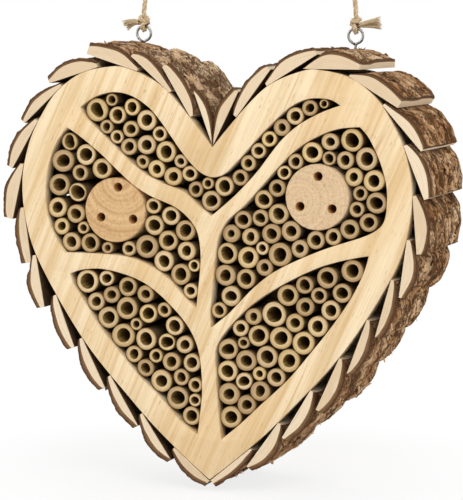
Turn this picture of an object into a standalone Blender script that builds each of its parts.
"""A heart-shaped insect hotel that hangs from a rope, in metres, +Z up.

The heart's face looks along -Y and the wall is behind it, at +Y. The origin is the point where the rope hangs on its
nail. The house swings on the rope about a line through the tops of its two screw eyes.

The house is drawn in its own coordinates: X from the heart's middle, Y back from the front of its face, and Z up from
a level a little below the heart's centre.
"""

import math

import bmesh
import bpy
from mathutils import Matrix, Vector
from mathutils.geometry import intersect_line_line_2d, intersect_point_line, tessellate_polygon

# Sizes of the wooden heart
HEART_WIDTH = 0.2792
HEART_HEIGHT = 0.2814
HOUSE_DEPTH = 0.095
FACE_THICKNESS = 0.012
BACK_THICKNESS = 0.008

# Room between pieces that touch, how far a cut runs past what it cuts, and the sharpest bend that is shaded round
CLEARANCE = 0.0003
OVERRUN = 0.002
SMOOTH_BEND = math.radians(40)

# Reeds, glued by their rear ends into a thin bed on the back board
WIDEST_REED = 0.0178
REED_RECESS = 0.002
REED_WALL_LEAST = 0.001
THIN_REED_BORE_SHARE = 0.5
BED_THICKNESS = 0.003
REED_SIDES = 8
THIN_REED_SIDES = 6
SETTLING_ROUNDS = 24
CROWDED_REEDS_SHARE = 0.84
LOOSE_REEDS_SHARE = 0.93
THINNING_SHARE = 0.98

# Short logs with three drilled nesting holes each
LOG_DIAMETER = 0.0448
LOG_RECESS = 0.0015
LOG_CHAMFER = 0.0006
LOG_HOLE = 0.006
LOG_HOLE_FLOOR = 0.0134
LOG_SIDES = 32
LOG_HOLE_SIDES = 10

# Bark slabs around the heart
SLAB_THICKNESS = 0.0097
SLAB_TUCKED_EDGE = 0.0032
SLAB_FREE_EDGE = 0.006
SLAB_SETBACK = 0.0005
SLAB_STEPS = 8
PROBE_SHARES = (-1.0, -0.5, 0.0, 0.5, 1.0)

# Furrows in the slabs' bark, which run back with the grain and wander across it
BARK_FURROW = 0.0016
BARK_FURROW_APART = 0.0135
BARK_FURROW_BEND = 0.058
BARK_FURROW_SHIFT = math.radians(137)
BARK_WANDER_SHARE = 0.3
BARK_WANDER_SHIFT = math.radians(57)
BARK_SHARE = 0.3
BARK_STEPS = 7

# Screw eyes
EYE_DIAMETER = 0.0124
EYE_WIRE = 0.0019
EYE_NECK = 0.0006
EYE_SHANK = 0.0065
EYE_DEPTH_SHARE = 0.8074
EYE_PLACE_SHARE = 0.561
EYE_HOLE_SIDES = 8
EYE_WIRE_BEVEL_STEPS = 2
EYE_ARC_STEPS = 14
EYE_ARC_START = math.radians(-38)
EYE_ARC_END = math.radians(222)

# Hanging rope
ROPE_DIAMETER = 0.0034
ROPE_RISE = 0.1285
ROPE_STEP = 0.0085
ROPE_BEVEL_STEPS = 2
ROUTE_STEPS = 12

# Knots, with their places as shares of the rope's diameter, of the sling round the eye's wire and of the hitch's turn
KNOT_TOP_SHARE = 3.235
KNOT_GAP = 0.0004
KNOT_STEP = 0.0021
KNOT_BEVEL_STEPS = 1
SLING_ENTRY_SHARES = ((-0.1, 2.0), (-0.62, 1.15))
SLING_TURNS = [math.radians(turn) for turn in (180, 210, 240, 270, 300, 330, 360)]
HITCH_ENTRY_SHARE = (1.08, 0.55)
HITCH_LEVEL_SHARE = 1.05
HITCH_CLIMB_SHARE = 0.5
HITCH_TURNS = [math.radians(turn) for turn in (90, 120, 150, 180, 210, 240, 262)]

# The straight front view that the tables of places below are given in
VIEW_TURN = math.radians(18.32)
VIEW_RISE = math.radians(5.47)
VIEW_ROLL = math.radians(-0.55)
VIEW_DISTANCE_SHARE = 5.906
VIEW_FOCAL_PIXELS = 2425.0
VIEW_MIDDLE_PIXELS = (231.5, 250.0)
FACE_ORIGIN_PIXELS = (211.2, 262.0)
FACE_HEIGHT_SHARE = 1.0079

# The right half of the heart from its notch to its tip, as shares of half its width and of its height
TIP_SHARE = 0.533
HEART_HALF_SHARES = (
    (0.0, 0.811), (0.115, 0.880), (0.270, 0.958), (0.440, 0.996), (0.539, 1.0), (0.688, 0.983), (0.812, 0.939),
    (0.888, 0.887), (0.953, 0.824), (0.990, 0.757), (1.0, 0.704), (0.989, 0.640), (0.949, 0.561), (0.872, 0.483),
    (0.741, 0.378), (0.609, 0.290), (0.444, 0.201), (0.283, 0.119), (0.104, 0.041), (0.0, 0.0),
)
OUTLINE_STEPS = 2

# Each window is a ring of smooth runs that meet in corners, in pixels of the front view
WINDOW_PIXELS = {
    "top": (
        ((80, 107), (93, 97.5), (110, 92.3), (129, 94.8), (148, 107), (163, 125), (180, 150), (196, 169), (210, 177),
         (222, 175), (231, 167.5), (243, 154.5), (257, 138.5), (270, 125), (284, 111.5), (297, 102.7), (312, 98.4),
         (330, 99.7), (340, 105.5)),
        ((340, 105.5), (322, 112), (299, 124.5), (279, 142.5), (257, 171.5), (234, 196), (211, 216)),
        ((211, 216), (198.5, 205.5), (184, 192), (168, 185.5), (147.5, 175.5), (129, 160.5), (104, 135.5),
         (87, 118.5), (80, 107)),
    ),
    "left": (
        ((67, 127.5), (80, 136.5), (100, 153.3), (118, 171), (135, 186.3), (153, 197.3), (173, 206), (188, 218),
         (197.3, 233), (200.3, 255), (199.3, 275), (196, 307.5)),
        ((196, 307.5), (184, 297), (170, 280.5), (150, 265.8), (128, 257), (100, 253.7), (65, 252.3)),
        ((65, 252.3), (54, 234), (47, 212), (45.5, 187), (49.5, 160), (57, 140.5), (67, 127.5)),
    ),
    "right": (
        ((359.5, 127.2), (368, 137), (379, 160), (386, 185), (386.5, 205), (384, 221), (376, 230.5), (360, 238),
         (330, 247.3), (300, 259), (270, 274.3), (247, 294), (230, 312), (211, 327.5)),
        ((211, 327.5), (209.7, 312), (211.5, 297), (214.5, 262), (218, 238), (227.5, 220), (243.5, 206), (267, 179.5),
         (289.5, 155.3), (309, 140.8), (330, 131.2), (345, 128), (359.5, 127.2)),
    ),
    "lower_left": (
        ((70, 273.5), (80, 270), (100, 268.7), (125, 274.5), (148, 285.5), (170, 305), (188, 327), (198, 350),
         (201.5, 378), (201.3, 400), (197.3, 434.5)),
        ((197.3, 434.5), (180, 420.5), (160, 397), (140, 377), (119.5, 352), (98, 324), (82, 297.5), (73, 283),
         (70, 273.5)),
    ),
    "lower_right": (
        ((368.5, 256.3), (363.5, 273), (350.5, 299), (330.5, 328), (310.5, 353), (287.5, 380), (262.5, 403),
         (240, 424), (221, 439.5)),
        ((221, 439.5), (218, 410), (215.5, 370), (216, 347), (230, 326), (253.5, 303.3), (284, 284), (319, 267.5),
         (350, 259.3), (368.5, 256.3)),
    ),
}

# Reeds by window: middle across and down, width, height and bore, in pixels of the front view
REED_PIXELS = {
    "top": (
        (95, 109.5, 23, 25, 13.5), (113, 101, 13.5, 13.5, 8), (130, 106, 18, 19.5, 10), (117, 118.5, 20, 21, 11),
        (145, 117.5, 21, 22, 11.5), (103.5, 126, 13.5, 15, 8), (131.5, 130, 17, 18, 9.5), (157, 131.5, 15.5, 18, 9),
        (116, 135.5, 13.5, 15, 8), (128, 146, 18, 16.5, 9.5), (146, 146, 19, 22.5, 10.5), (165.5, 148, 20, 23, 12.5),
        (142.5, 163, 13.5, 14, 7), (179.5, 159, 13.5, 15, 7), (156.5, 168.5, 17, 19, 9), (172.5, 174, 17, 20.5, 9.5),
        (188.5, 173, 16, 16.5, 9), (193, 188, 17, 17, 9), (207.5, 184, 13.5, 13, 7), (209.5, 201.5, 21, 22, 12),
        (224, 187.5, 20.5, 21.5, 12), (238.5, 179, 15.5, 19, 9.5), (247, 164, 17, 17, 8.5), (256.5, 151, 16, 17, 9),
        (268, 140, 15.5, 18, 9), (279.5, 127, 16.5, 19, 8), (294, 115.5, 19, 18.5, 10), (310, 108, 16, 17, 9),
        (324, 104, 13.5, 14, 7.5),
    ),
    "left": (
        (69, 141, 20, 22, 12), (85, 153.5, 21, 22, 13), (62, 161, 24, 25, 13), (100, 169, 21, 21, 12),
        (79.5, 173, 17, 17, 10), (57, 186, 23, 27, 13), (78.5, 192, 21, 23, 14), (57.5, 209, 21, 20, 11),
        (76, 214, 17, 21, 10.5), (61.5, 228.5, 17, 18, 8.5), (84.5, 228, 12.5, 12, 7), (71, 243, 19, 20, 10.5),
        (92, 243, 20, 21, 12), (107.5, 249, 12, 11, 6.5), (125, 249, 16, 16, 8), (143.5, 246.5, 22, 24, 13),
        (153.5, 206, 14.5, 17, 9.5), (169.5, 215.5, 19, 19.5, 11), (153.5, 227, 21, 22, 12), (186, 229, 19, 24, 12.5),
        (170, 240.5, 20.5, 22, 12), (188, 249.5, 19, 20, 10), (162, 260, 21, 21, 11.5), (179, 274, 21.5, 22, 12.5),
        (193.5, 267, 12, 14, 7.5), (190.5, 289.5, 15.5, 17, 8.5),
    ),
    "right": (
        (329.5, 143.5, 17, 19, 9), (350.5, 140, 23.5, 25, 14.5), (311, 154, 21.5, 23, 12.5),
        (367, 160.5, 22, 25, 13.5), (329, 160, 14.5, 14, 9), (344, 162, 18, 19.5, 10), (295, 163, 15.5, 15.5, 9),
        (353.5, 178, 19, 19, 9), (283.5, 174.5, 15.5, 17, 9), (375, 182, 21, 24, 12), (277.5, 189, 17, 18, 10),
        (359.5, 194, 14.5, 17, 9), (375.5, 204.5, 21, 22, 13), (263, 197.5, 18, 20, 11.5), (355.5, 211, 16.5, 18, 9),
        (277.5, 212.5, 20, 22, 12), (259, 215.5, 17, 18, 10), (368, 223.5, 20, 21, 11), (243, 218.5, 17, 20, 11),
        (349.5, 229.5, 19, 20, 11), (232, 233, 18, 19, 7.5), (268.5, 232, 20, 20.5, 11), (289, 231, 20, 20.5, 11),
        (332.5, 236.5, 17, 18, 9.5), (315.5, 239.5, 18, 18.5, 10.5), (250, 236.5, 17, 18, 9), (262, 247, 12, 15, 7.5),
        (300.5, 248, 18, 18, 9), (228, 252.5, 20, 23, 13.5), (249, 257, 20, 23, 12), (279, 252.5, 23, 25, 14),
        (264, 267.5, 16, 18, 8.5), (224.5, 274.5, 20.5, 23, 11.5), (246, 277.5, 20, 20, 12),
        (229.5, 295, 20, 21, 11), (218.5, 310.5, 15.5, 18, 9.5),
    ),
    "lower_left": (
        (86, 282, 25, 25, 15), (106, 279, 15.5, 17, 9.5), (124, 286, 21, 21, 12), (94.5, 303.5, 17.5, 19, 9.5),
        (109.5, 296.5, 18, 18, 9), (145, 294, 16.5, 18, 9), (127, 307.5, 23, 24, 13.5), (107.5, 318.5, 21, 23, 12.5),
        (147, 316, 21, 21, 12), (163, 309, 16, 18, 8.5), (133, 324.5, 12.5, 13.5, 7), (175, 325, 20, 24, 12),
        (121, 337, 24.5, 24, 14), (145, 337, 22, 22.5, 13), (165, 342, 19.5, 21, 12), (184, 344.5, 18, 17, 9.5),
        (134, 354, 17, 18, 9.5), (155, 356, 15, 16, 8.5), (174, 360, 19, 20, 10.5), (191.5, 362.5, 17, 19.5, 11),
        (145, 368.5, 18, 19, 10), (181, 378, 16.5, 18, 9.5), (196, 383, 13.5, 17, 8.5), (161, 381.5, 21, 25, 12),
        (178, 398, 23.5, 25, 14), (196, 398.5, 12.5, 15.5, 8), (192, 417.5, 18.5, 20, 11.5),
    ),
    "lower_right": (
        (353, 270, 23, 23, 13.5), (328, 277, 25, 21.5, 13), (306, 284, 19.5, 19, 11), (343, 293, 20, 22, 12),
        (288.5, 294, 21, 23, 13), (319, 296, 17.5, 19, 10), (304.5, 306, 19, 18.5, 10), (330, 311, 20, 21, 11.5),
        (273.5, 312.5, 25, 26, 16), (252.5, 317, 17, 19, 8), (296, 323.5, 18.5, 19.5, 10), (317.5, 327, 20, 23, 11.5),
        (241, 327, 15.5, 17.5, 9), (259, 335.5, 22.5, 22, 13.5), (243, 341, 11.5, 13, 7), (281.5, 338.5, 23, 23, 13.5),
        (305, 343, 23, 24, 13.5), (228.5, 349.5, 21.5, 21, 12), (247, 361, 20, 24, 11.5), (268.5, 357, 21, 24, 13),
        (290, 359.5, 23, 24, 13), (227.5, 371.5, 20, 24, 12.5), (260.5, 373.5, 14.5, 14, 7),
        (276.5, 377, 19, 18, 10.5), (244, 380.5, 17, 19, 10.5), (228.5, 394.5, 20.5, 23, 11),
        (259.5, 391, 18.5, 22, 10.5), (245, 406, 18, 20, 10), (230, 416.5, 20, 24, 12.5),
    ),
}
SEPARATE_REED_PIXELS = 23
THIN_REED_PIXELS = 19

# Logs by window: the middle in pixels of the front view, and the drilled holes as shares of the log's radius
LOG_PIXELS = {"left": (115, 210), "right": (317, 197.3)}
LOG_HOLE_SHARES = {
    "left": ((0.095, 0.713), (-0.461, -0.232), (0.594, -0.257)),
    "right": ((0.023, 0.630), (-0.528, -0.288), (0.471, -0.329)),
}

# Bark slabs from the notch to the tip: the inner corners of the tucked and the free edge in pixels of the front view, and
# the slab's shares of the full thickness and of the full free edge
SLAB_PIXELS = {
    "right": (
        ((212, 147), (238, 92), 1.0, 1.0), ((236, 117), (270, 69.5), 1.05, 1.15), ((267, 87), (317, 55.5), 1.15, 1.0),
        ((302.5, 71), (359, 72), 1.35, 1.1), ((348, 77.5), (396.5, 109), 1.15, 1.3),
        ((381, 106.5), (419.5, 152.5), 1.0, 0.9), ((402, 146.5), (422.5, 200.5), 1.1, 1.05),
        ((411.5, 196), (415.5, 254.5), 1.15, 1.2), ((406, 240), (398, 297.5), 1.15, 0.85),
        ((390, 279.5), (374, 336.5), 0.95, 0.85), ((367, 320), (347, 373.5), 1.05, 0.85),
        ((340, 358.5), (316.5, 410), 1.15, 1.25), ((311.5, 391.5), (283, 438.5), 1.15, 1.0),
        ((277.5, 422.5), (246, 466), 1.2, 1.0), ((250, 449), (210.5, 480.5), 0.8, 1.0),
    ),
    "left": (
        ((211, 147), (192, 92), 0.8, 0.7), ((190.5, 116.5), (162.5, 66.5), 1.05, 1.1),
        ((169, 92.5), (130.5, 56), 1.1, 1.0), ((136, 73), (86, 55.8), 1.2, 1.5), ((97, 66), (49, 82), 1.2, 0.85),
        ((62, 87), (25, 124), 1.0, 0.8), ((38, 121), (12.5, 168.5), 1.05, 0.95), ((24, 164.5), (13, 219), 1.15, 1.35),
        ((22, 207.6), (29.5, 262.5), 1.0, 1.25), ((38.4, 254.5), (47, 306.5), 1.15, 1.05),
        ((55.7, 294.7), (74, 347), 1.05, 1.15), ((81.2, 338), (104, 387.5), 1.05, 1.1),
        ((109, 376), (136.5, 426), 1.0, 0.7), ((141.5, 413.5), (170, 460), 1.0, 0.75),
        ((174, 447.5), (209.5, 481.5), 1.0, 1.0),
    ),
}
EYE_SLAB = 3

# The rope's route from a knot to the nail, as shares of half the span between the eyes and of the rope's rise
ROPE_SHARES = (
    (1.0, 0.088), (0.994, 0.125), (0.981, 0.175), (0.958, 0.240), (0.920, 0.320), (0.863, 0.410), (0.780, 0.505),
    (0.672, 0.605), (0.543, 0.708), (0.400, 0.808), (0.252, 0.900), (0.118, 0.970), (0.0, 1.0),
)

# The knots' tails, out from the rope's middle, back and up, as shares of the rope's diameter
TAIL_SHARES = {
    "left": ((0.75, -1.15, 1.85), (1.6, -1.0, 1.75), (2.6, -0.75, 1.3), (3.6, -0.5, 0.5), (4.3, -0.35, -0.4)),
    "right": ((0.75, -1.15, 1.9), (1.7, -1.0, 2.0), (2.9, -0.75, 2.2), (4.1, -0.5, 2.35), (5.2, -0.35, 2.3)),
}

COLOURS = {
    "pine": ((0.83, 0.66, 0.40), 0.55, 0.0),
    "back_board": ((0.76, 0.58, 0.36), 0.6, 0.0),
    "bark": ((0.24, 0.13, 0.08), 0.9, 0.0),
    "log_wood": ((0.75, 0.57, 0.40), 0.7, 0.0),
    "reed": ((0.62, 0.50, 0.33), 0.65, 0.0),
    "steel": ((0.72, 0.71, 0.70), 0.3, 1.0),
    "jute": ((0.66, 0.52, 0.36), 0.9, 0.0),
}


def clear_scene():
    """Remove every object that the file opened with."""
    for thing in list(bpy.data.objects):
        bpy.data.objects.remove(thing)


def make_material(name):
    """A plain surface in the piece's own colour."""
    colour, roughness, metallic = COLOURS[name]
    material = bpy.data.materials.new(name)
    material.use_nodes = True
    shader = material.node_tree.nodes["Principled BSDF"]
    shader.inputs["Base Color"].default_value = (*colour, 1.0)
    shader.inputs["Roughness"].default_value = roughness
    shader.inputs["Metallic"].default_value = metallic
    return material


def view_axes():
    """The front view's own axes as rows: to the right, up, and back towards the eye."""
    back = Vector((
        math.sin(VIEW_TURN) * math.cos(VIEW_RISE),
        -math.cos(VIEW_TURN) * math.cos(VIEW_RISE),
        math.sin(VIEW_RISE),
    ))
    right = Vector((math.cos(VIEW_TURN), math.sin(VIEW_TURN), 0.0))
    return Matrix.Rotation(VIEW_ROLL, 3, "Z") @ Matrix((right, back.cross(right), back))


def view_ray(pixels):
    """The direction of a place in the front view, one unit ahead of the eye."""
    across = (pixels[0] - VIEW_MIDDLE_PIXELS[0]) / VIEW_FOCAL_PIXELS
    down = (pixels[1] - VIEW_MIDDLE_PIXELS[1]) / VIEW_FOCAL_PIXELS
    return Vector((across, -down, -1.0))


def face_point(pixels, depth=0.0):
    """The place across and up the heart that the front view shows at some pixels, this far behind its face."""
    to_world = view_axes().transposed()
    eye = -(to_world @ (view_ray(FACE_ORIGIN_PIXELS) * VIEW_DISTANCE_SHARE))
    ray = to_world @ view_ray(pixels)
    place = eye + ray * ((depth / HEART_WIDTH - eye.y) / ray.y)
    return Vector((place.x * HEART_WIDTH, place.z * HEART_HEIGHT / FACE_HEIGHT_SHARE))


def smooth_run(points, steps):
    """Points on a smooth curve through a run of points, without its last one."""
    guides = [points[0], *points, points[-1]]
    run = []
    for before, start, end, after in zip(guides, guides[1:], guides[2:], guides[3:]):
        for step in range(steps):
            share = step / steps
            run.append(0.5 * (
                2.0 * start + (end - before) * share
                + (2.0 * before - 5.0 * start + 4.0 * end - after) * share ** 2
                + (3.0 * start - before - 3.0 * end + after) * share ** 3
            ))
    return run


def heart_half():
    """The right half of the heart's edge, from its notch to its tip."""
    guides = [
        Vector((across * HEART_WIDTH / 2, (up - TIP_SHARE) * HEART_HEIGHT)) for across, up in HEART_HALF_SHARES
    ]
    return [*smooth_run(guides, OUTLINE_STEPS), guides[-1]]


def heart_outline():
    """The heart's whole edge, clockwise from its notch."""
    half = heart_half()
    return half + [Vector((-place.x, place.y)) for place in reversed(half[1:-1])]


def window_outline(name):
    """One window's edge."""
    outline = []
    for run in WINDOW_PIXELS[name]:
        outline += smooth_run([face_point(pixels) for pixels in run], OUTLINE_STEPS)
    return outline


def circle(middle, radius, sides):
    """A round outline of a number of sides."""
    turns = [2.0 * math.pi * side / sides for side in range(sides)]
    return [middle + radius * Vector((math.cos(turn), math.sin(turn))) for turn in turns]


def nearest_on_edge(place, outline):
    """The point of an outline's edges that lies nearest to a place inside it."""
    feet = []
    for start, end in zip(outline, outline[1:] + outline[:1]):
        share = intersect_point_line(place, start, end)[1]
        feet.append(start.lerp(end, min(max(share, 0.0), 1.0)))
    return min(feet, key=lambda foot: (place - foot).length)


def is_inside(place, outline):
    """Whether a place lies inside an outline, by how many of its edges lie level with it and to its right."""
    crossings = 0
    for start, end in zip(outline, outline[1:] + outline[:1]):
        if (start.y > place.y) != (end.y > place.y):
            crossings += start.lerp(end, (place.y - start.y) / (end.y - start.y)).x > place.x
    return crossings % 2 == 1


def edge_distance(place, outline):
    """How far a place lies from the nearest edge of an outline."""
    return (place - nearest_on_edge(place, outline)).length


def add_loop(mesh, outline, depth):
    """Corners of an outline in a mesh, this far behind the face."""
    return [mesh.verts.new((place.x, depth, place.y)) for place in outline]


def add_wall(mesh, first, second):
    """Faces between two loops of as many corners."""
    for start, (corner, following) in enumerate(zip(first, first[1:] + first[:1])):
        across = second[(start + 1) % len(second)]
        mesh.faces.new((corner, following, across, second[start]))


def add_cap(mesh, outer, holes=()):
    """Flat faces inside a loop and around its holes."""
    loops = [outer, *holes]
    corners = [corner for loop in loops for corner in loop]
    for triangle in tessellate_polygon([[corner.co for corner in loop] for loop in loops]):
        mesh.faces.new([corners[index] for index in triangle])


def finish_mesh(name, mesh, material, parent, shift):
    """An object of a mesh whose faces point out, placed under its parent."""
    bmesh.ops.recalc_face_normals(mesh, faces=mesh.faces)
    data = bpy.data.meshes.new(name)
    mesh.to_mesh(data)
    mesh.free()
    data.shade_smooth()
    data.set_sharp_from_angle(angle=SMOOTH_BEND)
    piece = bpy.data.objects.new(name, data)
    data.materials.append(material)
    bpy.context.scene.collection.objects.link(piece)
    piece.parent = parent
    piece.location = shift
    return piece


def make_board(name, outline, windows, front, back, place):
    """A flat board with windows through it."""
    mesh = bmesh.new()
    loops = [(add_loop(mesh, edge, front), add_loop(mesh, edge, back)) for edge in [outline, *windows]]
    for front_loop, back_loop in loops:
        add_wall(mesh, front_loop, back_loop)
    add_cap(mesh, loops[0][0], [loop[0] for loop in loops[1:]])
    add_cap(mesh, loops[0][1], [loop[1] for loop in loops[1:]])
    return finish_mesh(name, mesh, *place)


def bed_front():
    """How far behind the face the reeds' bed begins."""
    return HOUSE_DEPTH - BACK_THICKNESS - CLEARANCE - BED_THICKNESS


def log_circles():
    """The middle and the radius of each log, clear of its window's edge."""
    circles = {}
    for window, middle in LOG_PIXELS.items():
        place = face_point(middle, LOG_RECESS)
        room = edge_distance(place, window_outline(window)) - CLEARANCE
        circles[window] = (place, min(LOG_DIAMETER / 2, room))
    return circles


def crowding(places, outers):
    """Pairs of reeds that lie too close, with the way from one to the other and what is missing."""
    for first in range(len(places)):
        for second in range(first):
            apart = places[first] - places[second]
            missing = outers[first] + outers[second] + CLEARANCE - apart.length
            if missing > 0.0:
                yield first, second, apart.normalized(), missing


def settle_reeds(places, outers, outline, log):
    """Shift reeds a little until they lie clear of the window's edge, its log and each other."""
    for _ in range(SETTLING_ROUNDS):
        for first, second, way, missing in crowding(places, outers):
            places[first] += way * missing / 2
            places[second] -= way * missing / 2
        for number, (place, outer) in enumerate(zip(places, outers)):
            side = 1.0 if is_inside(place, outline) else -1.0
            walls = [(nearest_on_edge(place, outline), 0.0, side)]
            if log:
                walls.append((*log, 1.0))
            for wall, radius, side in walls:
                away = side * (places[number] - wall)
                missing = outer + radius + CLEARANCE - side * away.length
                if missing > 0.0:
                    places[number] += away.normalized() * missing


def seen_breadth(middle, wide, high):
    """How broad a round thing on the face is, from its pixels in the front view, as a share of the heart's width."""
    across, down = middle
    breadth = face_point((across + wide / 2, down)).x - face_point((across - wide / 2, down)).x
    rise = face_point((across, down - high / 2)).y - face_point((across, down + high / 2)).y
    return (breadth / HEART_WIDTH + rise * FACE_HEIGHT_SHARE / HEART_HEIGHT) / 2


def widest_breadth():
    """The breadth of the widest reed, as a share of the heart's width."""
    return max(seen_breadth(reed[:2], *reed[2:4]) for reeds in REED_PIXELS.values() for reed in reeds)


def fitted_reeds(window, thinned):
    """Each reed's middle, and its outer radius where it is squeezed to what room it has and where it isn't."""
    outline = window_outline(window)
    log = log_circles().get(window)
    places = []
    full = []
    for reed in REED_PIXELS[window]:
        places.append(face_point(reed[:2], REED_RECESS))
        full.append(thinned * WIDEST_REED / 2 * seen_breadth(reed[:2], *reed[2:4]) / widest_breadth())
    settle_reeds(places, full, outline, log)
    outers = []
    for place, outer in zip(places, full):
        outers.append(min(outer, edge_distance(place, outline) - CLEARANCE))
        if log:
            outers[-1] = min(outers[-1], (place - log[0]).length - log[1] - CLEARANCE)
    for first, second, _, missing in crowding(places, outers):
        outers[first] -= missing / 2
        outers[second] -= missing / 2
    return places, outers, full


def reed_circles(window):
    """Each reed's middle, outer radius and bore radius. All reeds of a crowded window are thinner."""
    thinned = 1.0
    places, outers, full = fitted_reeds(window, thinned)
    crowded = sum(outers) < CROWDED_REEDS_SHARE * sum(full)
    while crowded:
        thinned *= THINNING_SHARE
        places, outers, full = fitted_reeds(window, thinned)
        crowded = sum(outers) < LOOSE_REEDS_SHARE * sum(full)
    bores = []
    for (*_, wide, high, bore), outer, whole in zip(REED_PIXELS[window], outers, full):
        widest_bore = max(outer - REED_WALL_LEAST, outer * THIN_REED_BORE_SHARE)
        bores.append(min(whole * 2 * bore / (wide + high), widest_bore))
    return list(zip(places, outers, bores))


def reed_sides(reed):
    """The number of sides of a reed, from its width in the front view."""
    return THIN_REED_SIDES if reed[2] < THIN_REED_PIXELS else REED_SIDES


def make_reed_bundle(window, place):
    """The thinner reeds of one window, which stand in their bed of glue."""
    bed = bed_front()
    mesh = bmesh.new()
    edge = window_outline(window)
    front = add_loop(mesh, edge, bed)
    back = add_loop(mesh, edge, bed + BED_THICKNESS)
    add_wall(mesh, front, back)
    add_cap(mesh, back)
    feet = []
    for reed, (middle, outer, bore) in zip(REED_PIXELS[window], reed_circles(window)):
        if reed[2] >= SEPARATE_REED_PIXELS:
            continue
        outside = circle(middle, outer, reed_sides(reed))
        inside = circle(middle, bore, reed_sides(reed))
        foot = add_loop(mesh, outside, bed)
        floor = add_loop(mesh, inside, bed)
        rim = add_loop(mesh, outside, REED_RECESS)
        mouth = add_loop(mesh, inside, REED_RECESS)
        add_wall(mesh, foot, rim)
        add_wall(mesh, rim, mouth)
        add_wall(mesh, mouth, floor)
        add_cap(mesh, floor)
        feet.append(foot)
    add_cap(mesh, front, feet)
    return finish_mesh(f"reeds_{window}", mesh, *place)


def make_separate_reeds(place):
    """The widest reeds, one piece each, which stand on the bed."""
    number = 0
    for window, reeds in REED_PIXELS.items():
        for reed, (middle, outer, bore) in zip(reeds, reed_circles(window)):
            if reed[2] < SEPARATE_REED_PIXELS:
                continue
            number += 1
            make_board(
                f"wide_reed_{number:02d}", circle(middle, outer, REED_SIDES), [circle(middle, bore, REED_SIDES)],
                REED_RECESS, bed_front() - CLEARANCE, place,
            )


def make_log(window, place):
    """A short log with a chamfered face and blind holes."""
    back = bed_front() - CLEARANCE
    middle, radius = log_circles()[window]
    mesh = bmesh.new()
    rim = add_loop(mesh, circle(middle, radius - LOG_CHAMFER, LOG_SIDES), LOG_RECESS)
    shoulder = add_loop(mesh, circle(middle, radius, LOG_SIDES), LOG_RECESS + LOG_CHAMFER)
    foot = add_loop(mesh, circle(middle, radius, LOG_SIDES), back)
    add_wall(mesh, rim, shoulder)
    add_wall(mesh, shoulder, foot)
    add_cap(mesh, foot)
    mouths = []
    for share in LOG_HOLE_SHARES[window]:
        hole = circle(middle + radius * Vector(share), LOG_HOLE / 2, LOG_HOLE_SIDES)
        mouth = add_loop(mesh, hole, LOG_RECESS)
        floor = add_loop(mesh, hole, back - LOG_HOLE_FLOOR)
        add_wall(mesh, mouth, floor)
        add_cap(mesh, floor)
        mouths.append(mouth)
    add_cap(mesh, rim, mouths)
    return finish_mesh(f"log_{window}", mesh, *place)


def reach(start, direction, outline):
    """How far a ray runs before it meets an outline."""
    far = start + direction * HEART_WIDTH
    nearest = math.inf
    for first, second in zip(outline, outline[1:] + outline[:1]):
        hit = intersect_line_line_2d(start, far, first, second)
        if hit is not None:
            nearest = min(nearest, (hit - start).length)
    return nearest


def edge_rise(tucked, along, outward, length, heart_edge):
    """How far the heart's edge stands out past a slab's inner side, over the slab's width."""
    rise = -math.inf
    for first, second in zip(heart_edge, heart_edge[1:]):
        reach_first = along.dot(first - tucked)
        reach_second = along.dot(second - tucked)
        for limit in (-CLEARANCE, length + CLEARANCE):
            if (reach_first - limit) * (reach_second - limit) < 0:
                crossing = first.lerp(second, (limit - reach_first) / (reach_second - reach_first))
                rise = max(rise, outward.dot(crossing - tucked))
        for corner, distance in ((first, reach_first), (second, reach_second)):
            if -CLEARANCE <= distance <= length + CLEARANCE:
                rise = max(rise, outward.dot(corner - tucked))
    return rise


def own_half(side, foot, run):
    """The parts of a slab's width between which it keeps to its own side of the heart."""
    crossing = (CLEARANCE - side * foot.x) / (side * run.x)
    if side * run.x > 0:
        return min(max(crossing, 0.0), 1.0), 1.0
    return 0.0, min(max(crossing, 0.0), 1.0)


def slab_section(side, corners, shares, heart_edge, cover):
    """One slab's section: a flat inner side seated on the heart's edge, and a bark side under the slab before it."""
    tucked, free = corners
    run = free - tucked
    along = run.normalized()
    outward = Vector((-along.y, along.x)) * side
    foot = tucked + outward * (edge_rise(tucked, along, outward, run.length, heart_edge) + CLEARANCE)
    thickness = SLAB_THICKNESS * shares[0]
    free_edge = SLAB_FREE_EDGE * shares[1]
    first_part, last_part = own_half(side, foot, run)
    inner = []
    outer = []
    for step in range(SLAB_STEPS + 1):
        part = first_part + (last_part - first_part) * step / SLAB_STEPS
        edge = SLAB_TUCKED_EDGE + (free_edge - SLAB_TUCKED_EDGE) * part
        height = edge + (thickness - edge) * 4.0 * part * (1.0 - part)
        for probe in PROBE_SHARES:
            start = foot + run * (part + probe / SLAB_STEPS)
            height = min(height, reach(start, outward, cover) - CLEARANCE)
        inner.append(foot + run * part)
        outer.append(foot + run * part + outward * height)
    section = [inner[0], *outer, inner[-1]]
    return [Vector((side * max(side * corner.x, CLEARANCE), corner.y)) for corner in section]


def slab_sections(side_name):
    """The sections of one side's slabs, from the notch to the tip."""
    side = 1.0 if side_name == "right" else -1.0
    heart_edge = [Vector((side * corner.x, corner.y)) for corner in heart_half()]
    cover = []
    sections = []
    for tucked, free, *shares in SLAB_PIXELS[side_name]:
        section = slab_section(side, (face_point(tucked), face_point(free)), shares, heart_edge, cover)
        sections.append(section)
        cover = section
    return sections


def top_of_section(section, across):
    """The height of a section's upper side at a place across the heart."""
    heights = []
    for first, second in zip(section, section[1:] + section[:1]):
        if (first.x - across) * (second.x - across) <= 0 and first.x != second.x:
            heights.append(first.lerp(second, (across - first.x) / (second.x - first.x)).y)
    return max(heights)


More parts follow.
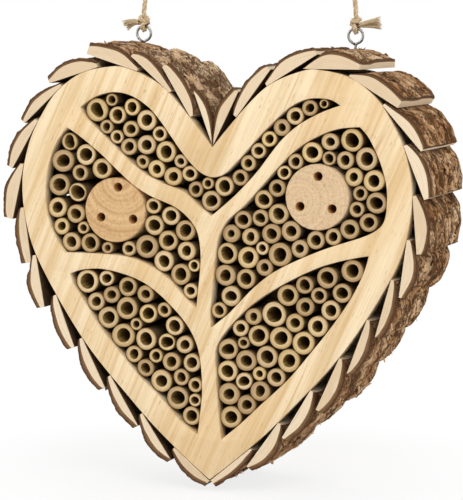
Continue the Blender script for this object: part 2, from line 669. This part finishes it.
def eye_places():
    """The middle of each eye's ring, and the slab's surface under it."""
    across = EYE_PLACE_SHARE * HEART_WIDTH / 2
    seats = {}
    for side_name, side in (("left", -1.0), ("right", 1.0)):
        section = slab_sections(side_name)[EYE_SLAB]
        top = top_of_section(section, side * across)
        seats[side_name] = Vector((side * across, EYE_DEPTH_SHARE * HOUSE_DEPTH, top))
    level = max(seat.z for seat in seats.values()) + EYE_NECK + EYE_DIAMETER / 2
    return {name: (Vector((seat.x, seat.y, level)), seat) for name, seat in seats.items()}


def bark_depth(number, across, depth):
    """How far a slab's bark lies below its highest plates, at a place across the slab and back from the face."""
    wander = BARK_WANDER_SHARE * math.sin(2.0 * math.pi * depth / BARK_FURROW_BEND + BARK_WANDER_SHIFT * number)
    wave = math.sin(2.0 * math.pi * (across / BARK_FURROW_APART + wander) + BARK_FURROW_SHIFT * number)
    return BARK_FURROW * (1.0 - wave) / 2.0


def furrowed(section, cover, number, depth):
    """A slab's section with furrows in the bark that no other slab covers, this far back from the face."""
    corners = [section[0]]
    for step, corner in enumerate(section[1:-1]):
        seat = section[0].lerp(section[-1], step / SLAB_STEPS)
        outward = (corner - seat).normalized()
        sunk = 0.0
        if reach(corner, outward, cover) == math.inf:
            height = (corner - seat).length
            sunk = min(bark_depth(number, (seat - section[0]).length, depth), BARK_SHARE * height)
        corners.append(corner - outward * sunk)
    return [*corners, section[-1]]


def make_slab(name, section, cover, number, place):
    """A bark slab, which runs the whole depth of the house, with its bark level round a screw eye."""
    mesh = bmesh.new()
    length = HOUSE_DEPTH - SLAB_SETBACK
    loops = []
    for step in range(BARK_STEPS + 1):
        depth = length * step / BARK_STEPS
        level = number == EYE_SLAB and abs(depth - EYE_DEPTH_SHARE * HOUSE_DEPTH) < length / BARK_STEPS
        loops.append(add_loop(mesh, section if level else furrowed(section, cover, number, depth), depth))
    for first, second in zip(loops, loops[1:]):
        add_wall(mesh, first, second)
    bmesh.ops.triangulate(mesh, faces=mesh.faces)
    add_cap(mesh, loops[0])
    add_cap(mesh, loops[-1])
    return finish_mesh(name, mesh, *place)


def cut_eye_hole(slab, seat, place):
    """A pilot hole for an eye's shank."""
    radius = EYE_WIRE / 2 + CLEARANCE
    depth = EYE_SHANK + CLEARANCE
    mesh = bmesh.new()
    bmesh.ops.create_cone(
        mesh, cap_ends=True, segments=EYE_HOLE_SIDES, radius1=radius, radius2=radius, depth=depth + OVERRUN,
        matrix=Matrix.Translation(seat + Vector((0, 0, (OVERRUN - depth) / 2))),
    )
    cutter = finish_mesh(f"{slab.name}_hole", mesh, *place)
    cutter.hide_render = True
    cutter.display_type = "WIRE"
    cut = slab.modifiers.new("pilot_hole", "BOOLEAN")
    cut.operation = "DIFFERENCE"
    cut.solver = "EXACT"
    cut.object = cutter


def make_slabs(place):
    """Both sides' slabs, with a pilot hole in the two that carry the eyes."""
    seats = eye_places()
    for side_name in SLAB_PIXELS:
        cover = []
        for number, section in enumerate(slab_sections(side_name)):
            slab = make_slab(f"bark_slab_{side_name}_{number + 1:02d}", section, cover, number, place)
            cover = section
            if number == EYE_SLAB:
                cut_eye_hole(slab, seats[side_name][1], place)


def make_wire(name, route, diameter, bevel_steps, material, parent, shift):
    """A round wire or rope along a route."""
    curve = bpy.data.curves.new(name, "CURVE")
    curve.dimensions = "3D"
    curve.bevel_depth = diameter / 2
    curve.bevel_resolution = bevel_steps
    curve.use_fill_caps = True
    spline = curve.splines.new("POLY")
    spline.points.add(len(route) - 1)
    for point, place in zip(spline.points, route):
        point.co = (*place, 1.0)
    spline.use_smooth = True
    curve.materials.append(material)
    piece = bpy.data.objects.new(name, curve)
    bpy.context.scene.collection.objects.link(piece)
    piece.parent = parent
    piece.location = shift
    return piece


def spaced_route(guides, step):
    """Points about one step apart on a smooth curve through a route's own points."""
    fine = [*smooth_run(guides, ROUTE_STEPS), guides[-1]]
    lengths = [0.0]
    for start, end in zip(fine, fine[1:]):
        lengths.append(lengths[-1] + (end - start).length)
    count = max(round(lengths[-1] / step), 2)
    route = []
    segment = 0
    for number in range(count + 1):
        wanted = lengths[-1] * number / count
        while segment < len(fine) - 2 and lengths[segment + 1] < wanted:
            segment += 1
        span = lengths[segment + 1] - lengths[segment]
        route.append(fine[segment].lerp(fine[segment + 1], (wanted - lengths[segment]) / span))
    return route


def make_screw_eye(side_name, place):
    """A wire eye, bent to a ring over a straight shank that sits in its slab."""
    middle, seat = eye_places()[side_name]
    radius = (EYE_DIAMETER - EYE_WIRE) / 2
    foot = seat.z - EYE_SHANK
    neck = middle.z - EYE_DIAMETER / 2
    route = [Vector((middle.x, middle.y, foot)), Vector((middle.x, middle.y, (foot + neck) / 2))]
    route.append(Vector((middle.x, middle.y, neck)))
    for step in range(EYE_ARC_STEPS + 1):
        turn = EYE_ARC_START + (EYE_ARC_END - EYE_ARC_START) * step / EYE_ARC_STEPS
        route.append(middle + radius * Vector((math.cos(turn), 0.0, math.sin(turn))))
    return make_wire(f"screw_eye_{side_name}", route, EYE_WIRE, EYE_WIRE_BEVEL_STEPS, *place)


def knot_route(side_name):
    """A rope's end: down through its eye, up behind, across the front and out as a tail, about the eye's top wire."""
    side = 1.0 if side_name == "right" else -1.0
    sling = EYE_WIRE / 2 + KNOT_GAP + ROPE_DIAMETER / 2
    hitch = ROPE_DIAMETER + KNOT_GAP
    top = KNOT_TOP_SHARE * ROPE_DIAMETER
    guides = [Vector((0, 0, top)), Vector((0, 0, top - ROPE_DIAMETER))]
    for back, up in SLING_ENTRY_SHARES:
        guides.append(Vector((0, back, up)) * sling)
    for turn in SLING_TURNS:
        guides.append(Vector((0, math.cos(turn), math.sin(turn))) * sling)
    guides.append(Vector((0, *HITCH_ENTRY_SHARE)) * hitch)
    for turn in HITCH_TURNS:
        climb = HITCH_LEVEL_SHARE + HITCH_CLIMB_SHARE * (turn - HITCH_TURNS[0]) / math.pi
        guides.append(Vector((side * math.cos(turn), math.sin(turn), climb)) * hitch)
    for out, back, up in TAIL_SHARES[side_name]:
        guides.append(Vector((side * out, back, up)) * ROPE_DIAMETER)
    return spaced_route(guides, KNOT_STEP)


def rope_drop():
    """How far the eyes' top wires lie below the nail."""
    return ROPE_RISE - ROPE_DIAMETER / 2


def make_knot(side_name, material, parent):
    """One end of the rope, knotted round its eye's top wire, with its tail."""
    side = 1.0 if side_name == "right" else -1.0
    wire = Vector((side * EYE_PLACE_SHARE * HEART_WIDTH / 2, 0.0, -rope_drop()))
    route = [wire + place for place in knot_route(side_name)]
    make_wire(f"rope_knot_{side_name}", route, ROPE_DIAMETER, KNOT_BEVEL_STEPS, material, parent, (0, 0, 0))


def make_rope(material, parent):
    """The rope from one knot over the nail to the other."""
    across = EYE_PLACE_SHARE * HEART_WIDTH / 2
    half = [Vector((out * across, 0.0, up * ROPE_RISE - rope_drop())) for out, up in ROPE_SHARES]
    half[0].z = KNOT_TOP_SHARE * ROPE_DIAMETER - rope_drop() + CLEARANCE
    guides = half + [Vector((-place.x, place.y, place.z)) for place in reversed(half[:-1])]
    route = spaced_route(guides, ROPE_STEP)
    make_wire("hanging_rope", route, ROPE_DIAMETER, ROPE_BEVEL_STEPS, material, parent, (0, 0, 0))


def add_empty(name, parent, location):
    """An empty that carries other objects."""
    empty = bpy.data.objects.new(name, None)
    bpy.context.scene.collection.objects.link(empty)
    empty.parent = parent
    empty.location = location
    return empty


def build():
    """The whole insect hotel."""
    clear_scene()
    materials = {name: make_material(name) for name in COLOURS}
    nail = add_empty("nail", None, (0, 0, 0))
    make_rope(materials["jute"], nail)
    for side_name in TAIL_SHARES:
        make_knot(side_name, materials["jute"], nail)

    house = add_empty("house_pivot", nail, (0, 0, -rope_drop()))
    ring = eye_places()["right"][0]
    shift = -Vector((0, ring.y, ring.z + (EYE_DIAMETER - EYE_WIRE) / 2))
    outline = heart_outline()
    windows = [window_outline(name) for name in WINDOW_PIXELS]
    make_board("front_frame", outline, windows, 0.0, FACE_THICKNESS, (materials["pine"], house, shift))
    make_board(
        "back_board", outline, [], HOUSE_DEPTH - BACK_THICKNESS, HOUSE_DEPTH, (materials["back_board"], house, shift)
    )
    for window in WINDOW_PIXELS:
        make_reed_bundle(window, (materials["reed"], house, shift))
    make_separate_reeds((materials["reed"], house, shift))
    for window in LOG_PIXELS:
        make_log(window, (materials["log_wood"], house, shift))
    make_slabs((materials["bark"], house, shift))
    for side_name in SLAB_PIXELS:
        make_screw_eye(side_name, (materials["steel"], house, shift))


build()
